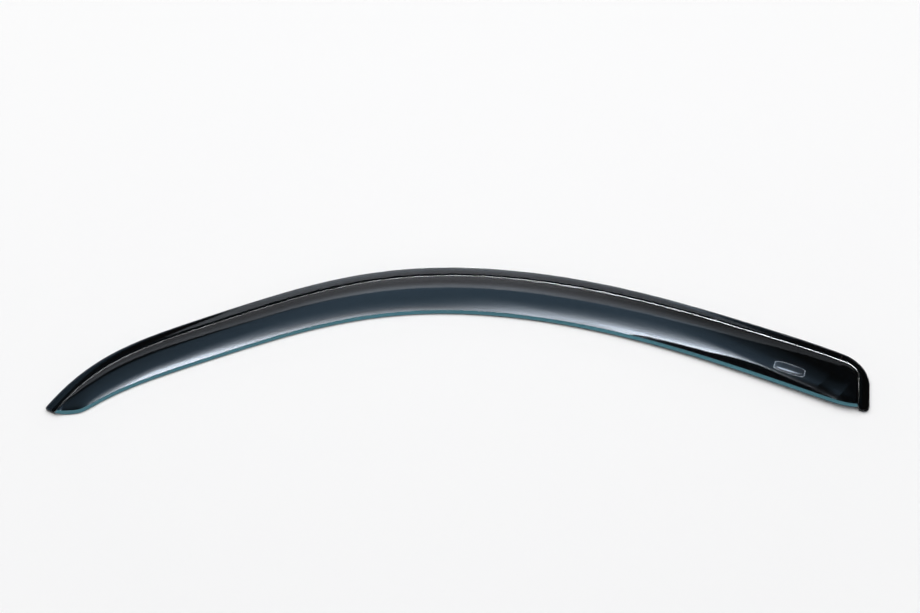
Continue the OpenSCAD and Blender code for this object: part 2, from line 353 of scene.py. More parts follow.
class Graph:
    """Adds nodes to a shader or geometry tree and links them."""

    def __init__(self, tree):
        self.tree = tree

    def add(self, kind, inputs=None, **settings):
        """A new node with its settings; inputs maps sockets to values or to other sockets."""
        node = self.tree.nodes.new(kind)
        for key, value in settings.items():
            setattr(node, key, value)
        self.fill(node, inputs or {})
        return node

    def fill(self, node, inputs):
        for key, value in inputs.items():
            self.feed(node.inputs[key], value)

    def feed(self, socket, value):
        if isinstance(value, bpy.types.NodeSocket):
            self.tree.links.new(value, socket)
        else:
            socket.default_value = value

    def math(self, operation, a, b):
        return self.add("ShaderNodeMath", {0: a, 1: b}, operation=operation).outputs[0]

    def blend(self, a, b, t):
        """a + (b - a) * t, with t left free."""
        node = self.add("ShaderNodeMix", {0: t, 2: a, 3: b}, data_type="FLOAT", clamp_factor=False)
        return node.outputs[0]

    def bezier(self, shares, t):
        values = list(shares)
        while len(values) > 1:
            values = [self.blend(a, b, t) for a, b in zip(values, values[1:])]
        return values[0]

    def attribute(self, name):
        node = self.add("GeometryNodeInputNamedAttribute", {"Name": name}, data_type="FLOAT")
        return node.outputs["Attribute"]


def new_geometry_tree(name, inputs):
    """A geometry tree with a geometry input and output and the named inputs."""
    tree = bpy.data.node_groups.new(name, "GeometryNodeTree")
    tree.interface.new_socket("Geometry", in_out="INPUT", socket_type="NodeSocketGeometry")
    for label, kind in inputs:
        tree.interface.new_socket(label, in_out="INPUT", socket_type=kind)
    tree.interface.new_socket("Geometry", in_out="OUTPUT", socket_type="NodeSocketGeometry")
    graph = Graph(tree)
    return graph, graph.add("NodeGroupInput"), graph.add("NodeGroupOutput")


def finish_tree(graph, geometry, output, *dressings):
    """Ends a tree in Realize Instances and Set Material; a dressing is (material, selection)."""
    geometry = graph.add("GeometryNodeRealizeInstances", {0: geometry}).outputs[0]
    for material, selection in dressings:
        node = graph.add("GeometryNodeSetMaterial", {"Geometry": geometry, "Material": material})
        if selection is not None:
            graph.feed(node.inputs["Selection"], selection)
        geometry = node.outputs[0]
    graph.tree.links.new(geometry, output.inputs[0])


def build_with_tree(source, graph, values, name, smooth_angle):
    """Runs the tree on the source object and returns its result as one plain mesh object."""
    modifier = source.modifiers.new(graph.tree.name, "NODES")
    modifier.node_group = graph.tree
    items = graph.tree.interface.items_tree
    keys = {item.name: item.identifier for item in items if item.in_out == "INPUT"}
    for label, value in values.items():
        modifier[keys[label]] = value
    depsgraph = bpy.context.evaluated_depsgraph_get()
    evaluated = source.evaluated_get(depsgraph)
    mesh = bpy.data.meshes.new_from_object(evaluated, preserve_all_data_layers=True, depsgraph=depsgraph)
    bpy.data.objects.remove(source)
    for attribute in [a.name for a in mesh.attributes if a.domain == "POINT" and not a.is_internal]:
        if attribute not in ("position", ROLL_NAME):
            mesh.attributes.remove(mesh.attributes[attribute])
    return new_object(name, mesh, smooth_angle)


def new_object(name, data, smooth_angle=None):
    """Links a new object; its mesh is smooth, with sharp edges past the angle."""
    made = bpy.data.objects.new(name, data)
    bpy.context.scene.collection.objects.link(made)
    if smooth_angle is not None:
        data.shade_smooth()
        data.set_sharp_from_angle(angle=math.radians(smooth_angle))
    return made


def point_outwards(mesh):
    work = bmesh.new()
    work.from_mesh(mesh)
    bmesh.ops.delete(work, geom=[v for v in work.verts if not v.link_faces], context="VERTS")
    bmesh.ops.recalc_face_normals(work, faces=work.faces)
    work.to_mesh(mesh)
    work.free()


def seat(made, slot, *nodes):
    """The piece rides on the one body and stands for the CAD nodes; the slot is not used."""
    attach(made, BODY)
    if nodes:
        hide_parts(*nodes)


def blank_material(name):
    """A node material with nothing but its output; returns it, its graph and its output."""
    material = bpy.data.materials.new(name)
    material.use_nodes = True
    material.node_tree.nodes.clear()
    graph = Graph(material.node_tree)
    return material, graph, graph.add("ShaderNodeOutputMaterial")


def new_material(name):
    """A node material with one Principled shader; returns it, its graph, shader and output."""
    material, graph, output = blank_material(name)
    shader = graph.add("ShaderNodeBsdfPrincipled")
    graph.feed(output.inputs["Surface"], shader.outputs[0])
    return material, graph, shader, output


def object_noise(graph, scale, detail=2.0, stretch=(1.0, 1.0, 1.0)):
    """Noise over the piece's own coordinates, finer with a larger scale."""
    place = graph.add("ShaderNodeTexCoord").outputs["Object"]
    mapping = graph.add("ShaderNodeMapping", {"Vector": place, "Scale": stretch})
    inputs = {"Vector": mapping.outputs[0], "Scale": scale, "Detail": detail}
    return graph.add("ShaderNodeTexNoise", inputs).outputs["Fac"]


def ramp(graph, factor, low, high, start=0.0, end=1.0):
    """A value from low to high as the factor goes from start to end."""
    node = graph.add("ShaderNodeMapRange", {"Value": factor, 1: start, 2: end, 3: low, 4: high})
    return node.outputs[0]


def shades(graph, factor, color, low, high):
    """The colour times a share that goes from low to high with the factor."""
    ends = [(*(channel * share for channel in color), 1) for share in (low, high)]
    return graph.add("ShaderNodeMix", {0: factor, 6: ends[0], 7: ends[1]}, data_type="RGBA").outputs[2]


def bump(graph, height, strength=1.0, distance=1.0):
    inputs = {"Height": height, "Strength": strength, "Distance": distance}
    return graph.add("ShaderNodeBump", inputs).outputs[0]


# Density of the acrylic's tint per metre of depth, and the height of its faint waves
SMOKE_DENSITY = 1500.0
WAVE_HEIGHT = 0.002 * MM
ACRYLIC_IOR = 1.49


def smoke_acrylic(finish):
    """Clear to look through, tinted by its depth; lamps reach what lies behind it."""
    material, graph, shader, output = new_material("smoke_acrylic")
    smears = object_noise(graph, scale=26, detail=3)
    waves = graph.math("MULTIPLY", object_noise(graph, scale=55, detail=1), WAVE_HEIGHT)
    roll = graph.add("ShaderNodeAttribute", attribute_name=ROLL_NAME).outputs["Fac"]
    graph.fill(shader, {
        "Base Color": (1, 1, 1, 1),
        "Transmission Weight": 1.0,
        "IOR": ACRYLIC_IOR,
        "Roughness": ramp(graph, smears, low=0.012, high=0.035, start=0.35, end=0.7),
        "Normal": bump(graph, graph.math("ADD", waves, roll)),
    })
    clear = graph.add("ShaderNodeBsdfTransparent", {"Color": (*finish.shadow, 1)})
    shadow_ray = graph.add("ShaderNodeLightPath").outputs["Is Shadow Ray"]
    mixed = graph.add("ShaderNodeMixShader", {0: shadow_ray, 1: shader.outputs[0], 2: clear.outputs[0]})
    depth = graph.add("ShaderNodeVolumeAbsorption", {"Color": (*finish.smoke, 1), "Density": SMOKE_DENSITY})
    graph.fill(output, {"Surface": mixed.outputs[0], "Volume": depth.outputs[0]})
    return material


def painted_fold_shade(finish):
    """Painted shade on the fold between flange and step: near-black without gloss, standing in for the shade
    that falls there.
    """
    material, graph, shader, _ = new_material("painted_fold_shade")
    # Noise that varies the painted shade a little along the fold
    shade_mottle = object_noise(graph, scale=300)
    graph.fill(shader, {
        "Base Color": shades(graph, shade_mottle, finish.smoke, low=0.006, high=0.02),
        "Roughness": 0.6,
        "Specular IOR Level": 0.0,
    })
    return material


def painted_edge_glow(finish):
    """The bevelled edge, painted a bright teal that stands in for the light the sheet gathers there; the teal
    varies a little along its length.
    """
    material, graph, shader, _ = new_material("painted_edge_glow")
    drift = object_noise(graph, scale=9)
    polish = object_noise(graph, scale=900, stretch=(0.05, 1.0, 1.0))
    graph.fill(shader, {
        "Base Color": shades(graph, drift, finish.painted_edge_glow, low=0.75, high=1.3),
        "Roughness": ramp(graph, polish, low=0.18, high=0.34),
        "IOR": ACRYLIC_IOR,
        "Normal": bump(graph, polish, strength=0.15, distance=0.04 * MM),
    })
    return material


def foam_tape(finish):
    """Closed-cell foam: dull, with fine pores."""
    material, graph, shader, _ = new_material("foam_tape")
    place = graph.add("ShaderNodeTexCoord").outputs["Object"]
    cells = graph.add("ShaderNodeTexVoronoi", {"Vector": place, "Scale": 2600.0}).outputs["Distance"]
    graph.fill(shader, {
        "Base Color": shades(graph, cells, finish.foam, low=0.6, high=1.8),
        "Roughness": 0.85,
        "Normal": bump(graph, cells, strength=0.6, distance=0.12 * MM),
    })
    return material


def release_liner(finish):
    """Thin glossy film with soft creases across it."""
    material, graph, shader, _ = new_material("release_liner")
    creases = object_noise(graph, scale=60, detail=3, stretch=(1.0, 0.3, 1.0))
    graph.fill(shader, {
        "Base Color": shades(graph, creases, finish.liner, low=0.8, high=1.15),
        "Roughness": ramp(graph, creases, low=0.25, high=0.42),
        "Normal": bump(graph, creases, strength=0.35, distance=0.3 * MM),
    })
    return material


def badge_lacquer(finish):
    """Dark glossy lacquer under a clear coat."""
    material, graph, shader, _ = new_material("badge_lacquer")
    cloud = object_noise(graph, scale=400)
    graph.fill(shader, {
        "Base Color": shades(graph, cloud, finish.badge, low=1.0, high=2.2),
        "Roughness": ramp(graph, cloud, low=0.08, high=0.16),
        "Coat Weight": 0.6,
        "Coat Roughness": 0.04,
    })
    return material


def badge_silver(finish):
    """Plated metal, brushed along the badge."""
    material, graph, shader, _ = new_material("badge_silver")
    strokes = object_noise(graph, scale=1500, stretch=(0.08, 1.0, 1.0))
    graph.fill(shader, {
        "Base Color": shades(graph, strokes, finish.silver, low=0.9, high=1.0),
        "Roughness": ramp(graph, strokes, low=0.16, high=0.3),
        "Metallic": 1.0,
        "Normal": bump(graph, strokes, strength=0.1, distance=0.03 * MM),
    })
    return material


class SheetBlank:
    """The flat cut sheet before forming: its points, faces and the values that forming reads."""

    NAMES = ("along", "drop", "rise", "blade_width", ROLL_NAME)

    def __init__(self, plan):
        self.plan = plan
        self.sizes = plan.sizes
        outer_edge, step_line, lower_edge = plan.stations()
        self.count = len(outer_edge)
        self.step_row = ARC_ROWS + FLANGE_ROWS + STEP_ROWS
        self.row_count = self.step_row + BLADE_ROWS + 1
        self.points, self.values = [], {name: [] for name in self.NAMES}
        for inside in (False, True):
            self._add_face_rows(outer_edge, step_line, lower_edge, inside)

    def _add_face_rows(self, outer, step, lower, inside):
        """One face's rows, from the outer edge over flange and step down to the blade's lower edge."""
        s, plan = self.sizes, self.plan
        reach = np.linalg.norm(step - outer, axis=1)
        across = (step - outer) / column(reach)
        blade = np.linalg.norm(lower - step, axis=1)
        flat = reach - s.step_run
        back = np.minimum(SET_BACK_SHARE * s.wall, blade / 2) * inside
        run = np.maximum(1 - s.bevel_run / np.maximum(blade, s.bevel_run), BEVEL_START_SHARE)
        foot = np.ones(self.count) if inside else run
        ease = s.arris_ease if inside else s.edge_ease
        level = plan.base if inside else plan.face
        inwards = 1 if inside else -1
        zero = np.zeros(self.count)
        rows = []
        for k in range(ARC_ROWS):
            turn = k / ARC_ROWS * math.pi / 2
            height = level + inwards * ease * (1 - math.sin(turn))
            rows.append((outer + ease * (1 - math.cos(turn)) * across, height, zero, 0))
        for k in range(FLANGE_ROWS):
            share = k / FLANGE_ROWS
            rows.append((outer + column(mix(ease, flat + back, share)) * across, level, zero, share))
        for k in range(STEP_ROWS + 1):
            rise = k / STEP_ROWS
            rows.append((outer + column(flat + back + rise * s.step_run) * across, level, zero + rise, 1))
        start = step + column(back) * across
        for k in range(BLADE_ROWS):
            share = foot * (k + FIRST_ROW_SHARE) / (BLADE_ROWS - 1 + FIRST_ROW_SHARE)
            rows.append((mix(start, lower, column(share)), level, zero + 1, 1))
        first_row = np.linalg.norm(rows[-BLADE_ROWS][0] - start, axis=1)
        tip_turn = TIP_TURN * np.maximum(1 - outer[:, 0] / s.length / TIP_TURN_END_SHARE, 0)
        for k, (place, height, rise, flange_share) in enumerate(rows):
            roll = zero if inside else flat * flange_share * mix(*ROLL_SLOPES, flange_share / 2)
            if k > self.step_row and not inside:
                down = np.linalg.norm(place - start, axis=1)
                turned = tip_turn * down * (down / np.maximum(blade, s.wall)) ** 2 / 3
                roll = roll + LINE_SLOPE * first_row + turned
            along, drop, width = plan.place_on_sheet(place)
            self.points.append(np.column_stack([plan.placed(place), zero + height]))
            for name, value in zip(self.NAMES, (along, drop, rise, width, roll)):
                self.values[name].append(value)

    def number(self, station, row, inside):
        """Number of a point: the blade's rows meet in one point at both end stations."""
        if station in (0, self.count - 1):
            row = min(row, self.step_row)
        return (row + inside * self.row_count) * self.count + station

    def faces(self):
        """Quads of both faces, the edges and the two ends; then those of the fold, which gets painted shade,
        and of the bevel.
        """
        quads, fold, rows, last = [], [], self.row_count - 1, self.count - 1
        first_fold = ARC_ROWS + FLANGE_ROWS - FOLD_ROWS
        for i in range(last):
            for k in range(rows):
                corners = ((i, k), (i + 1, k), (i + 1, k + 1), (i, k + 1))
                group = fold if first_fold <= k < ARC_ROWS + FLANGE_ROWS + FOLD_ROWS else quads
                group.append([self.number(a, b, False) for a, b in corners])
                quads.append([self.number(a, b, True) for a, b in reversed(corners)])
            quads.append([self.number(i, 0, True), self.number(i + 1, 0, True),
                          self.number(i + 1, 0, False), self.number(i, 0, False)])
        for k in range(self.step_row):
            quads.append([self.number(0, k, True), self.number(0, k, False),
                          self.number(0, k + 1, False), self.number(0, k + 1, True)])
            quads.append([self.number(last, k, False), self.number(last, k, True),
                          self.number(last, k + 1, True), self.number(last, k + 1, False)])
        bevel = [[self.number(i, rows, False), self.number(i + 1, rows, False),
                  self.number(i + 1, rows, True), self.number(i, rows, True)] for i in range(last)]
        return quads, fold, bevel

    def build(self):
        """The blank as a mesh object that carries the values and marks the faces' finishes and the fold's
        painted shade.
        """
        polygons, marks = [], []
        for mark, group in enumerate(self.faces()):
            for quad in group:
                polygon = list(dict.fromkeys(quad))
                if len(polygon) > 2:
                    polygons.append(polygon)
                    marks.append(mark)
        mesh = bpy.data.meshes.new("sheet_blank")
        mesh.from_pydata(np.concatenate(self.points).tolist(), [], polygons)
        for name in self.NAMES:
            layer = mesh.attributes.new(name, "FLOAT", "POINT")
            layer.data.foreach_set("value", np.concatenate(self.values[name]).astype(np.float32))
        layer = mesh.attributes.new("finish_and_shade_mark", "FLOAT", "FACE")
        layer.data.foreach_set("value", np.array(marks, np.float32))
        point_outwards(mesh)
        return new_object("sheet_blank", mesh)


def forming_tree(acrylic, fold, edge):
    """Raises the flat blank into step and cambered blade."""
    inputs = [(label, "NodeSocketFloat") for label in ("Step Height", "Rear Lift")]
    graph, given, output = new_geometry_tree("Form Sheet", inputs)
    along, drop, rise = (graph.attribute(n) for n in ("along", "drop", "rise"))
    step = graph.math("MULTIPLY", given.outputs["Step Height"], graph.bezier(STEP_SHARES, along))
    lift = graph.math("MULTIPLY", given.outputs["Rear Lift"], graph.bezier(LIFT_SHARES, along))
    camber = graph.math("MULTIPLY", graph.attribute("blade_width"), graph.bezier(CAMBER_SHARES, along))
    bow = graph.math("MULTIPLY", drop, graph.math("SUBTRACT", 1.0, drop))
    bow = graph.math("MULTIPLY", graph.math("MULTIPLY", bow, 4.0), camber)
    height = graph.math("ADD", graph.blend(step, lift, drop), bow)
    eased = graph.add("ShaderNodeMapRange", {"Value": rise}, interpolation_type="SMOOTHERSTEP")
    height = graph.math("MULTIPLY", height, eased.outputs[0])
    offset = graph.add("ShaderNodeCombineXYZ", {"Z": height})
    moved = graph.add(
        "GeometryNodeSetPosition", {"Geometry": given.outputs["Geometry"], "Offset": offset.outputs[0]}
    )
    # Mark 1 gives the fold its painted shade; mark 2 gives the bevel its painted teal edge light
    mark = graph.attribute("finish_and_shade_mark")
    past = [
        graph.add("FunctionNodeCompare", {0: mark, 1: limit}, operation="GREATER_THAN").outputs[0]
        for limit in MARK_LIMITS
    ]
    finish_tree(graph, moved.outputs[0], output, (acrylic, None), (fold, past[0]), (edge, past[1]))
    return graph


def strip_tree(name, material):
    """Sweeps a rounded bar along a line and lifts it."""
    inputs = [(label, "NodeSocketFloat") for label in ("Width", "Thickness", "Corner", "Lift")]
    graph, given, output = new_geometry_tree(name, inputs)
    profile = graph.add(
        "GeometryNodeCurvePrimitiveQuadrilateral",
        {"Width": given.outputs["Width"], "Height": given.outputs["Thickness"]},
    )
    corner = {"Radius": given.outputs["Corner"], "Count": STRIP_CORNER_POINTS}
    rounded = graph.add("GeometryNodeFilletCurve", {"Curve": profile.outputs[0], **corner}, mode="POLY")
    upright = graph.add("GeometryNodeSetCurveNormal", {"Curve": given.outputs["Geometry"]}, mode="Z_UP")
    swept = graph.add(
        "GeometryNodeCurveToMesh",
        {"Curve": upright.outputs[0], "Profile Curve": rounded.outputs[0], "Fill Caps": True},
    )
    offset = graph.add("ShaderNodeCombineXYZ", {"Z": given.outputs["Lift"]})
    moved = graph.add("GeometryNodeSetPosition", {"Geometry": swept.outputs[0], "Offset": offset.outputs[0]})
    finish_tree(graph, moved.outputs[0], output, (material, None))
    return graph


def line_object(points, closed):
    """A curve object through the points, for a tree to sweep along."""
    data = bpy.data.curves.new("guide", "CURVE")
    data.dimensions = "3D"
    spline = data.splines.new("POLY")
    spline.points.add(len(points) - 1)
    for place, point in zip(spline.points, points):
        place.co = (*point, 1.0)
    spline.use_cyclic_u = closed
    return new_object("guide", data)


def sweep(name, points, material, width, thickness, corner, lift, closed=False):
    """A strip along the points, as one closed mesh whose faces point outwards."""
    graph = strip_tree("Sweep " + name, material)
    values = {"Width": width, "Thickness": thickness, "Corner": corner, "Lift": lift}
    made = build_with_tree(line_object(points, closed), graph, values, name, STRIP_SMOOTH)
    point_outwards(made.data)
    made.data.set_sharp_from_angle(angle=math.radians(STRIP_SMOOTH))
    return made


def flat_points(points):
    return np.column_stack([points, np.zeros(len(points))])


def top_tape_line(plan, over):
    """Middle of the tape behind the top flange, longer by over at both ends."""
    s = plan.sizes
    start = TAPE_END_SHARE * s.tip_radius - over
    end = plan.outer_x - s.liner_joint - 2 * s.liner_over + over
    xs = np.linspace(start, end, TOP_STATIONS // 2)
    middle = s.tape_inset + s.tape_width / 2
    return flat_points(plan.placed(plan.top_point(xs) + middle * inward(plan.heading(xs))))


def rear_tape_line(plan, over):
    """Middle of the tape behind the rear flange: round the corner and down to the tab."""
    s = plan.sizes
    inset = s.tape_inset + s.tape_width / 2
    first = plan.heading(plan.outer_x)
    turn = np.linspace(first, plan.end_heading, CORNER_STATIONS)
    corner = plan.outer_centre - (s.corner_radius - inset) * inward(turn)
    start = corner[:1] - over * ahead(first)
    run = plan.end_run - TAPE_END_SHARE * s.tab_radius + over
    down, side = ahead(plan.end_heading), inward(plan.end_heading)
    end = plan.end_start + inset * side + run * down
    return flat_points(plan.placed(np.concatenate([start, corner, [end]])))


def on_badge(plan, a, b, height):
    """Points of the badge at a height over the blade: a and b run from -1 to 1 along and across it."""
    s = plan.sizes
    x = BADGE_PLACE_SHARES[0] * s.length
    centre = np.array([x, mix(plan.step_line_y(x), plan.edge_y(x), BADGE_PLACE_SHARES[1])])
    turn = plan.heading(x)
    half = s.badge_width / 2 * mix(BADGE_END_SHARE, 1, np.sqrt(np.maximum(1 - np.abs(a) ** 4, 0)))
    place = centre + column(a * s.badge_length / 2) * ahead(turn) - column(b * half) * inward(turn)
    level = plan.face + plan.sheet_height(place) + height
    return np.column_stack([plan.placed(place), level])


def store_sizes():
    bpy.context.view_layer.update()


def user_values(context):
    return context.scene.deflector_sizes, context.scene.deflector_finish


class DEFLECTOR_OT_visor(bpy.types.Operator):
    """Form the smoke acrylic shell"""

    bl_idname = "deflector.make_visor"
    bl_label = "Acrylic shell"

    def execute(self, context):
        sizes, finish = user_values(context)
        blank = SheetBlank(placed_plan(sizes)).build()
        graph = forming_tree(smoke_acrylic(finish), painted_fold_shade(finish), painted_edge_glow(finish))
        values = {"Step Height": sizes.step_height, "Rear Lift": sizes.rear_lift}
        shell = build_with_tree(blank, graph, values, "visor_shell", SHELL_SMOOTH)
        seat(shell, "acrylic", "visor")
        return {"FINISHED"}


TAPE_CORNER_SHARE = 0.12
LINER_CORNER_SHARE = 0.2


class DEFLECTOR_OT_tapes(bpy.types.Operator):
    """Lay the foam tape behind the flange"""

    bl_idname = "deflector.make_tapes"
    bl_label = "Foam tape"

    def execute(self, context):
        sizes, finish = user_values(context)
        plan, material = placed_plan(sizes), foam_tape(finish)
        thickness = sizes.tape_thickness - sizes.glue_gap
        lift = sizes.liner_thickness + thickness / 2
        corner = TAPE_CORNER_SHARE * thickness
        for name, line in (("tape_top", top_tape_line), ("tape_rear", rear_tape_line)):
            strip = sweep("foam_" + name, line(plan, 0), material, sizes.tape_width, thickness, corner, lift)
            seat(strip, "foam_tape", name)
        return {"FINISHED"}


class DEFLECTOR_OT_liners(bpy.types.Operator):
    """Lay the release liner over the foam tape"""

    bl_idname = "deflector.make_liners"
    bl_label = "Release liner"

    def execute(self, context):
        sizes, finish = user_values(context)
        plan, material = placed_plan(sizes), release_liner(finish)
        over, thickness = sizes.liner_over, sizes.liner_thickness
        width = sizes.tape_width + 2 * over
        corner = LINER_CORNER_SHARE * thickness
        for name, line in (("liner_top", top_tape_line), ("liner_rear", rear_tape_line)):
            strip = sweep("film_" + name, line(plan, over), material, width, thickness, corner, thickness / 2)
            seat(strip, "release_liner", name)
        return {"FINISHED"}


BADGE_COLUMNS = 48
BADGE_ROWS = 16
BADGE_DOME_SHARE = 0.4
OUTLINE_PLACE_SHARE = 0.93
# The outline's height and the rounding of its edges, as shares of its width
OUTLINE_HEIGHT_SHARE = 0.5
OUTLINE_CORNER_SHARE = 0.2
BAR_REACH_SHARE = 0.78
BAR_PLACE_SHARE = -0.42
BAR_WIDTH_SHARE = 0.16
BAR_RISE_SHARE = 0.35


def grid_shell(plan, columns, rows, place, upper, lower):
    """A closed plate over the badge, from place, which maps the grid there, and two heights."""
    points, faces = [], []
    a, b = np.meshgrid(np.linspace(-1, 1, columns + 1), np.linspace(-1, 1, rows + 1), indexing="ij")
    a, b = a.ravel(), b.ravel()
    badge_a, badge_b = place(a, b)
    for height in (upper(a, b), lower(a, b)):
        points.append(on_badge(plan, badge_a, badge_b, height))
    total = (columns + 1) * (rows + 1)

    def number(i, j, layer):
        return layer * total + i * (rows + 1) + j

    for i in range(columns):
        for j in range(rows):
            for layer in (0, 1):
                faces.append([number(i, j, layer), number(i + 1, j, layer),
                              number(i + 1, j + 1, layer), number(i, j + 1, layer)])
    for i in range(columns):
        for j in (0, rows):
            faces.append([number(i, j, 0), number(i + 1, j, 0), number(i + 1, j, 1), number(i, j, 1)])
    for j in range(rows):
        for i in (0, columns):
            faces.append([number(i, j, 0), number(i, j + 1, 0), number(i, j + 1, 1), number(i, j, 1)])
    mesh = bpy.data.meshes.new("badge_part")
    mesh.from_pydata(np.concatenate(points).tolist(), [], faces)
    point_outwards(mesh)
    return mesh


class DEFLECTOR_OT_badge(bpy.types.Operator):
    """Stick the badge plate with its outline and bar on the blade"""

    bl_idname = "deflector.make_badge"
    bl_label = "Badge"

    def execute(self, context):
        sizes, finish = user_values(context)
        plan = placed_plan(sizes)
        silver = badge_silver(finish)
        low, thick = sizes.glue_gap, sizes.badge_thickness

        def dome(a, b):
            return low + thick * (1 - BADGE_DOME_SHARE * np.maximum(a**4, b**2))

        def bottom(a, b):
            return 0 * a + low

        plate = grid_shell(plan, BADGE_COLUMNS, BADGE_ROWS, lambda a, b: (a, b), dome, bottom)
        plate.materials.append(badge_lacquer(finish))
        seat(new_object("badge_plate", plate, BADGE_SMOOTH), "badge_plate", "badge")

        ends = np.linspace(-1, 1, BADGE_COLUMNS)
        sides = np.linspace(-1, 1, BADGE_ROWS // 2 + 1)[1:-1]
        ring_a = np.concatenate([ends, 0 * sides + 1, ends[::-1], 0 * sides - 1])
        ring_b = np.concatenate([0 * ends + 1, sides[::-1], 0 * ends - 1, sides])
        height = low + thick * (1 - BADGE_DOME_SHARE)
        ring = on_badge(plan, OUTLINE_PLACE_SHARE * ring_a, OUTLINE_PLACE_SHARE * ring_b, height)
        width = sizes.outline_width
        tall, corner = OUTLINE_HEIGHT_SHARE * width, OUTLINE_CORNER_SHARE * width
        outline = sweep("badge_outline", ring, silver, width, tall, corner, 0.0, closed=True)
        seat(outline, "badge_plate")

        def bar_place(a, b):
            return BAR_REACH_SHARE * a, BAR_PLACE_SHARE + BAR_WIDTH_SHARE * b * (1 - a**2)

        def bar_top(a, b):
            return low + thick * (1 + BAR_RISE_SHARE * (1 - b**2) * (1 - a**2))

        bar = grid_shell(plan, BADGE_COLUMNS, BADGE_ROWS // 2, bar_place, bar_top, bottom)
        bar.materials.append(silver)
        seat(new_object("badge_bar", bar, BADGE_SMOOTH), "badge_plate")
        return {"FINISHED"}


# The photograph's frame and the camera that takes it
PHOTO_WIDTH = 920
FOCAL_PIXELS = 1300
SENSOR_WIDTH = 36.0
CAMERA_PLACE = (-0.0193, -0.9536, 1.1998)
CAMERA_PITCH = 50.0
CAMERA_TURN = -1.2

FLOOR_SIZE = 12.0
# Distances between which the floor turns to even white, and its strength there
FLOOR_FADE = (0.45, 1.3)
FLOOR_WHITE = 0.98
# Overhead light, which faces the origin
KEY_WATTS = 154.0
KEY_SIZE = (6.0, 5.0)
KEY_PLACE = (0.0, 0.4, 2.6)
# Strength of the room low down and above, and the steepness between which it changes
WALL_STRENGTH = 1.0
ROOM_STRENGTH = 0.04
WALL_FADE = (0.16, 0.32)


def make_camera():
    data = bpy.data.cameras.new("camera")
    data.sensor_width = SENSOR_WIDTH
    data.lens = FOCAL_PIXELS / PHOTO_WIDTH * SENSOR_WIDTH
    camera = bpy.data.objects.new("camera", data)
    camera.location = CAMERA_PLACE
    camera.rotation_euler = Euler((math.radians(90 - CAMERA_PITCH), 0, math.radians(CAMERA_TURN)))
    bpy.context.scene.collection.objects.link(camera)
    bpy.context.scene.camera = camera


def make_floor(color):
    """A pale floor that keeps the shadow near the object and runs out to even white further off."""
    mesh = bpy.data.meshes.new("floor")
    half = FLOOR_SIZE / 2
    corners = [(-half, -half, 0), (half, -half, 0), (half, half, 0), (-half, half, 0)]
    mesh.from_pydata(corners, [], [(0, 1, 2, 3)])
    material, graph, shader, output = new_material("floor_white")
    graph.fill(shader, {"Base Color": (*color, 1), "Roughness": 1.0, "Specular IOR Level": 0.0})
    place = graph.add("ShaderNodeTexCoord").outputs["Object"]
    distance = graph.add("ShaderNodeVectorMath", {0: place}, operation="LENGTH").outputs["Value"]
    far = ramp(graph, distance, 0.0, 1.0, *FLOOR_FADE)
    rays = graph.add("ShaderNodeLightPath").outputs
    seen = graph.math("MAXIMUM", rays["Is Camera Ray"], rays["Is Transmission Ray"])
    seen = graph.math("MAXIMUM", seen, rays["Is Glossy Ray"])
    white = graph.add("ShaderNodeEmission", {"Color": (1, 1, 1, 1), "Strength": FLOOR_WHITE})
    factor = graph.math("MULTIPLY", far, seen)
    mixed = graph.add("ShaderNodeMixShader", {0: factor, 1: shader.outputs[0], 2: white.outputs[0]})
    graph.feed(output.inputs["Surface"], mixed.outputs[0])
    mesh.materials.append(material)
    new_object("floor", mesh)


def make_world():
    """A dim room with a pale wall low down all round."""
    world = bpy.data.worlds.new("studio")
    bpy.context.scene.world = world
    world.use_nodes = True
    world.node_tree.nodes.clear()
    graph = Graph(world.node_tree)
    direction = graph.add("ShaderNodeTexCoord").outputs["Generated"]
    height = graph.add("ShaderNodeSeparateXYZ", {0: direction}).outputs["Z"]
    strength = ramp(graph, height, WALL_STRENGTH, ROOM_STRENGTH, *WALL_FADE)
    background = graph.add("ShaderNodeBackground", {"Color": (1, 1, 1, 1), "Strength": strength})
    graph.add("ShaderNodeOutputWorld", {"Surface": background.outputs[0]})


# Rows of a panel's mesh, and how many halvings of its glow a softbox reaches
PANEL_ROWS = 8
FALL_HALVINGS = 7


def panel_material(name, tint, soft_low=0.0, soft_high=0.0, falls=False):
    """Glow of the strength stored in the mesh, softened along its long sides or halving with UV Y."""
    material, graph, output = blank_material(name)
    uv = graph.add("ShaderNodeUVMap", uv_map="panel").outputs[0]
    across = graph.add("ShaderNodeSeparateXYZ", {0: uv}).outputs["Y"]
    strength = graph.add("ShaderNodeAttribute", attribute_name="glow").outputs["Fac"]
    if falls:
        fall = graph.math("POWER", 0.5, graph.math("MAXIMUM", across, 0.0))
        strength = graph.math("MULTIPLY", fall, strength)
    for start, end in ((0.0, soft_low), (1.0, 1.0 - soft_high)):
        if start != end:
            fade = graph.add(
                "ShaderNodeMapRange", {"Value": across, 1: start, 2: end}, interpolation_type="SMOOTHSTEP"
            )
            strength = graph.math("MULTIPLY", fade.outputs[0], strength)
    glow = graph.add("ShaderNodeEmission", {"Color": (*tint, 1), "Strength": strength})
    clear = graph.add("ShaderNodeBsdfTransparent")
    both = graph.add("ShaderNodeAddShader", {0: glow.outputs[0], 1: clear.outputs[0]})
    graph.feed(output.inputs["Surface"], both.outputs[0])
    return material


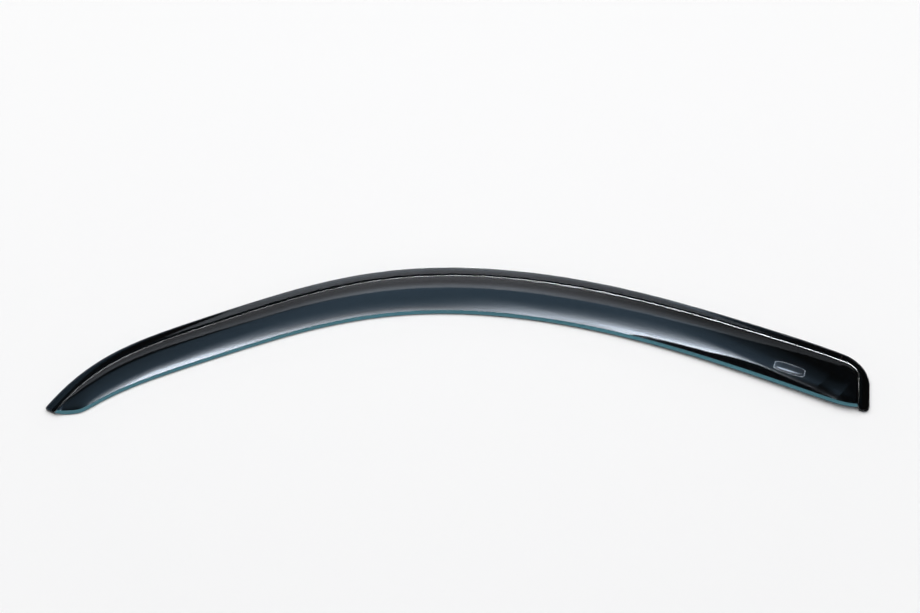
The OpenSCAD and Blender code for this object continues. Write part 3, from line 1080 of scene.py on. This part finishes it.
def make_panel(name, radius, columns, material, halving=None):
    """A reflected strip on an arc over the studio, seen by gloss alone; its columns run along X.

    UV Y goes from 0 to 1 across it or, with a halving angle, counts the halvings past the high side.
    """
    corners, glow, shares = [], [], []
    for x, low, high, strength in columns:
        end = high if halving is None else high + FALL_HALVINGS * halving
        for angle in np.linspace(low, end, PANEL_ROWS + 1):
            turn = math.radians(angle)
            corners.append((x, -radius * math.cos(turn), radius * math.sin(turn)))
            glow.append(strength)
            shares.append((angle - low) / (high - low) if halving is None else (angle - high) / halving)
    side = PANEL_ROWS + 1
    faces = [
        (i * side + k, (i + 1) * side + k, (i + 1) * side + k + 1, i * side + k + 1)
        for i in range(len(columns) - 1) for k in range(PANEL_ROWS)
    ]
    mesh = bpy.data.meshes.new(name)
    mesh.from_pydata(corners, [], faces)
    layer = mesh.uv_layers.new(name="panel")
    for loop, uv in zip(mesh.loops, layer.data):
        uv.uv = (0.0, shares[loop.vertex_index])
    mesh.attributes.new("glow", "FLOAT", "POINT").data.foreach_set("value", glow)
    mesh.materials.append(material)
    panel = new_object(name, mesh)
    for ray in ("camera", "diffuse", "shadow", "transmission", "volume_scatter"):
        setattr(panel, "visible_" + ray, False)


def even_columns(low, high, radiance, left=-3.0, right=3.0, soft=0.4):
    """Columns of a panel of even strength with soft ends."""
    return (
        (left, low, high, 0.0), (left + soft, low, high, radiance),
        (right - soft, low, high, radiance), (right, low, high, 0.0),
    )


# Columns of the reflected panels: place along X, lowest and highest elevation, radiance.
# On the two softboxes the third value is where the glow starts to fall.
# They are set so that the gloss shows the bright and dark bands of the real part.
LEFT_BOX = (
    (-0.46, 84, 90, 0.0), (-0.4, 84, 91, 16.0), (-0.35, 84, 91.7, 20.0), (-0.3, 84, 92.8, 20.0),
    (-0.25, 84, 93.3, 20.0), (-0.2, 84, 92.3, 19.0), (-0.12, 84, 92, 15.5), (-0.08, 84, 92.5, 11.0),
    (-0.05, 84, 94, 7.5), (-0.035, 84, 96, 6.8), (-0.015, 84, 97.3, 8.3), (0.02, 84, 98.5, 11.5),
    (0.06, 84, 99, 9.0), (0.1, 84, 99.5, 0.0),
)
RIGHT_BOX = (
    (-0.02, 95.5, 98, 0.0), (0.03, 96.6, 99.3, 10.0), (0.07, 97.9, 100, 16.0),
    (0.12, 99.6, 100.7, 19.5), (0.17, 101, 101.9, 20.0), (0.24, 102.4, 103, 20.0),
    (0.36, 104.4, 105.3, 20.0), (0.41, 105.3, 106.1, 20.0), (0.465, 106.6, 107.2, 19.0),
    (0.52, 107.8, 108.3, 18.5), (0.585, 108.9, 109.4, 13.5), (0.64, 109.8, 110.3, 10.0),
    (0.68, 109.6, 110.2, 7.0), (0.71, 108.4, 109.3, 5.5), (0.74, 106.6, 107.6, 1.5),
    (0.85, 102, 105, 0.35), (1.05, 97, 104, 0.0),
)
BLUE = (
    (-2.2, 102, 135, 0.25), (-1.2, 100, 135, 0.5), (-0.5, 94, 134, 0.95), (-0.25, 93, 134, 1.15),
    (0.0, 95, 134, 1.15), (0.2, 99.5, 134, 1.15), (0.36, 103.5, 134, 1.1), (0.55, 107, 134, 1.1),
    (0.75, 108, 136, 0.95), (0.95, 108, 138, 0.65), (1.1, 108, 140, 0.25), (1.4, 108, 140, 0.0),
)
BACK_SPAN = (160, 186)
BACK = tuple((x, *BACK_SPAN, radiance) for x, radiance in (
    (-3.0, 1.5), (-1.4, 3.0), (-0.9, 4.0), (-0.4, 12.0),
    (0.0, 24.0), (0.6, 21.0), (1.6, 13.0), (3.0, 6.0),
))
# Columns of the grey panels: place along X, lowest elevation, share of grey, glow above the lowest
GREY_COLUMNS = (
    (-3.0, 144, 0.4, 0.3), (-1.3, 140, 0.5, 0.5), (-0.8, 134.5, 0.7, 0.7), (-0.3, 132, 1.0, 1.8),
    (0.25, 132, 1.0, 1.8), (0.55, 132, 0.85, 1.1), (0.9, 134, 0.55, 0.8), (1.15, 136.5, 0.3, 0.5),
    (1.5, 141, 0.2, 0.2), (3.0, 146, 0.2, 0.0),
)
GREY_TOP = 160
GREY_GLOW_SPAN = 13
GREY = tuple((x, low, GREY_TOP, share) for x, low, share, _ in GREY_COLUMNS)
GREY_GLOW = tuple((x, low, low + GREY_GLOW_SPAN, glow) for x, low, _, glow in GREY_COLUMNS)
# Reflected panels: name, radius, columns, tint, soft shares at the low and at the high side.
# The radii differ a little, so that no two panels lie in one place.
PANELS = (
    ("blue_panel", 3.04, BLUE, (0.5, 0.8, 1.12), 0.2, 0.06),
    ("grey_panel", 3.06, GREY, (0.94, 0.98, 1.07), 0.06, 0.1),
    ("grey_glow", 3.08, GREY_GLOW, (0.83, 0.95, 1.08), 0.08, 0.9),
    ("back_strip", 3.1, BACK, (0.94, 0.99, 1.06), 0.1, 0.1),
    ("side_strip", 3.12, even_columns(100, 150, 7.0, 2.3, 4.8), (1.0, 1.0, 1.0), 0.2, 0.2),
    ("front_panel", 3.14, even_columns(22, 50, 2.5), (0.97, 0.98, 1.0), 0.3, 0.3),
)
# Softboxes: name, radius, columns and the angle over which the glow halves
SOFTBOXES = (("softbox_left", 1.5, LEFT_BOX, 2.7), ("softbox_right", 3.0, RIGHT_BOX, 2.0))
SOFTBOX_TINT = (0.9, 1.0, 1.13)


def make_key():
    """Large soft overhead light for floor and matt surfaces, left out of reflections."""
    data = bpy.data.lights.new("key", "AREA")
    data.shape = "RECTANGLE"
    data.size, data.size_y = KEY_SIZE
    data.energy = KEY_WATTS
    key = bpy.data.objects.new("key", data)
    key.location = KEY_PLACE
    aim = Vector((0, 0, 0)) - key.location
    key.rotation_euler = aim.to_track_quat("-Z", "Y").to_euler()
    key.visible_glossy = False
    bpy.context.scene.collection.objects.link(key)


class DEFLECTOR_OT_stage(bpy.types.Operator):
    """Set up floor, room, lights and camera"""

    bl_idname = "deflector.make_stage"
    bl_label = "Stage"

    def execute(self, context):
        make_camera()
        make_floor(context.scene.deflector_finish.floor)
        make_world()
        make_key()
        for name, radius, columns, *look in PANELS:
            make_panel(name, radius, columns, panel_material(name, *look))
        for name, radius, columns, halving in SOFTBOXES:
            make_panel(name, radius, columns, panel_material(name, SOFTBOX_TINT, falls=True), halving)
        context.scene.view_settings.view_transform = "Standard"
        return {"FINISHED"}


class DEFLECTOR_PT_panel(bpy.types.Panel):
    """Sizes, colours and steps of the deflector"""

    bl_idname = "DEFLECTOR_PT_panel"
    bl_label = "Window rain deflector"
    bl_space_type = "VIEW_3D"
    bl_region_type = "UI"
    bl_category = "Deflector"

    def draw(self, context):
        for group in user_values(context):
            box = self.layout.box()
            for name in group.__annotations__:
                box.prop(group, name)
        for step in STEPS:
            self.layout.operator(step.bl_idname)


STEPS = (
    DEFLECTOR_OT_stage,
    DEFLECTOR_OT_visor,
    DEFLECTOR_OT_tapes,
    DEFLECTOR_OT_liners,
    DEFLECTOR_OT_badge,
)
CLASSES = (DeflectorSizes, DeflectorFinish, *STEPS, DEFLECTOR_PT_panel)


def register():
    for made in CLASSES:
        bpy.utils.register_class(made)
    bpy.types.Scene.deflector_sizes = bpy.props.PointerProperty(type=DeflectorSizes)
    bpy.types.Scene.deflector_finish = bpy.props.PointerProperty(type=DeflectorFinish)


def unregister():
    del bpy.types.Scene.deflector_finish
    del bpy.types.Scene.deflector_sizes
    for made in reversed(CLASSES):
        bpy.utils.unregister_class(made)


def main():
    register()
    bpy.ops.deflector.make_stage()
    bpy.ops.deflector.make_visor()
    bpy.ops.deflector.make_tapes()
    bpy.ops.deflector.make_liners()
    bpy.ops.deflector.make_badge()
    store_sizes()


if __name__ == "__main__":
    main()
